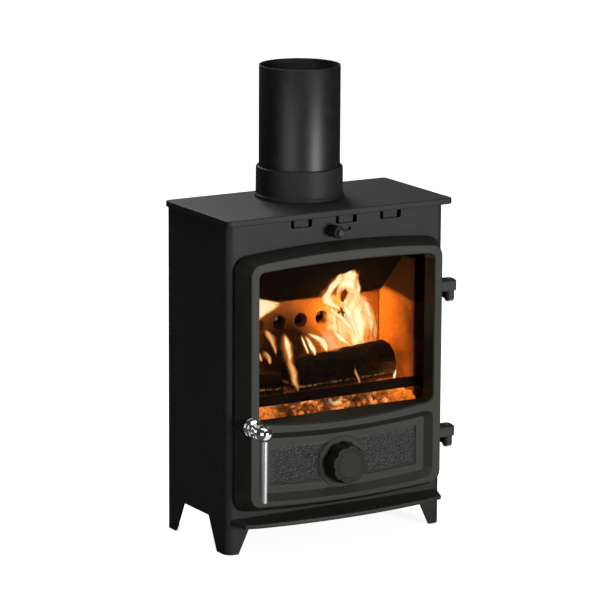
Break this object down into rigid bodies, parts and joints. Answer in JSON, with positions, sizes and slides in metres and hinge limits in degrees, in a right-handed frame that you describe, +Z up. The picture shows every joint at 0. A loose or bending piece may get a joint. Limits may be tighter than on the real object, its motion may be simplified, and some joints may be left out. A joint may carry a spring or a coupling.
{
  "type": "multi-fuel stove",
  "caption": "Slim free-standing multi-fuel stove with a glazed cast door, chrome handle, round air wheel, top air slide, ash lip and a length of flue pipe.",
  "frame": {"origin": "bottom centre of the whole stove's box, on the floor", "axes": "+Z up; the door faces -Y; +X to the right seen from the front"},
  "size_m": [0.4084, 0.2742, 0.735],
  "materials": {
    "stove_black": "matt heat-resistant black paint on steel",
    "cast_black": "matt black paint on cast iron",
    "flue_enamel": "satin black enamel",
    "dark_iron": "rough, sooty",
    "chrome": "polished",
    "satin_steel": "satin",
    "zinc_screw": "zinc plated",
    "stove_glass": "clear, lightly smoked at the edges",
    "seal_rope": "woven glass-fibre rope",
    "fire_brick": "rough vermiculite board",
    "pan_steel": "bare dark sheet steel",
    "charred_wood": "charred bark, black and cracked",
    "embers": "grey ash over glowing coals"
  },
  "bodies": {
    "casing": {"outer_casing": "stove_black", "back_panel": "stove_black", "base_plate": "dark_iron", "top_plate": "stove_black", "flue_collar": "stove_black", "flue_pipe": "flue_enamel", "collar_bolt_left": "zinc_screw", "collar_bolt_right": "zinc_screw", "ash_lip": "cast_black", "lip_bolt_left": "zinc_screw", "lip_bolt_right": "zinc_screw", "hinge_bracket_upper": "cast_black", "hinge_bracket_lower": "cast_black", "hinge_pin_upper": "zinc_screw", "hinge_pin_lower": "zinc_screw", "hinge_screw_upper": "zinc_screw", "hinge_screw_lower": "zinc_screw", "slide_keeper_left": "dark_iron", "slide_keeper_right": "dark_iron", "air_deflector": "dark_iron", "grate_rail_left": "dark_iron", "grate_rail_right": "dark_iron", "left_fire_brick": "fire_brick", "right_fire_brick": "fire_brick", "rear_fire_brick": "fire_brick", "throat_plate": "dark_iron", "rear_air_channel": "dark_iron", "slotted_grate": "dark_iron", "log_guard": "dark_iron", "guard_bracket_left": "dark_iron", "guard_bracket_right": "dark_iron", "ash_pan": "pan_steel", "ash_pan_handle": "pan_steel", "ember_bed": "embers", "front_log": "charred_wood", "left_log": "charred_wood"},
    "door": {"door_casting": "cast_black", "door_glass": "stove_glass", "glass_gasket": "seal_rope", "door_seal": "seal_rope", "glass_clip_top_left": "dark_iron", "glass_clip_top_right": "dark_iron", "glass_clip_bottom_left": "dark_iron", "glass_clip_bottom_right": "dark_iron", "clip_screw_top_left": "zinc_screw", "clip_screw_top_right": "zinc_screw", "clip_screw_bottom_left": "zinc_screw", "clip_screw_bottom_right": "zinc_screw", "air_stud": "zinc_screw", "air_stud_nut": "zinc_screw"},
    "handle": {"handle_boss": "chrome", "handle_grip": "satin_steel", "latch_cam": "dark_iron", "cam_nut": "zinc_screw"},
    "wheel_carrier": {"air_wheel_washer": "zinc_screw"},
    "wheel": {"air_wheel": "cast_black"},
    "air_slide": {"airwash_slide": "dark_iron", "airwash_knob": "cast_black"},
    "riddle": {"riddle_plate": "dark_iron"}
  },
  "joints": [
    {"name": "door_swing", "type": "hinge", "parent": "casing", "child": "door", "pos_m": [0.19525, -0.0659, 0.27], "axis": [0, 0, 1], "range_deg": [0, 110]},
    {"name": "handle_turn", "type": "hinge", "parent": "door", "child": "handle", "pos_m": [-0.17325, -0.0869, 0.2095], "axis": [0, 1, 0], "range_deg": [0, 90]},
    {"name": "wheel_travel", "type": "slide", "parent": "door", "child": "wheel_carrier", "axis": [0, 1, 0], "range_m": [-0.00376, 0.00376]},
    {"name": "wheel_spin", "type": "hinge", "parent": "wheel_carrier", "child": "wheel", "pos_m": [-0.00625, -0.0778, 0.132], "axis": [0, 1, 0], "range_deg": [-540, 540]},
    {"name": "air_slide_move", "type": "slide", "parent": "casing", "child": "air_slide", "axis": [1, 0, 0], "range_m": [-0.005, 0.03]},
    {"name": "riddle_move", "type": "slide", "parent": "casing", "child": "riddle", "axis": [0, 1, 0], "range_m": [-0.008, 0.008]}
  ],
  "couplings": [
    {"joint": "wheel_travel", "follows": "wheel_spin", "m_per_rad": 0.00039789}
  ]
}
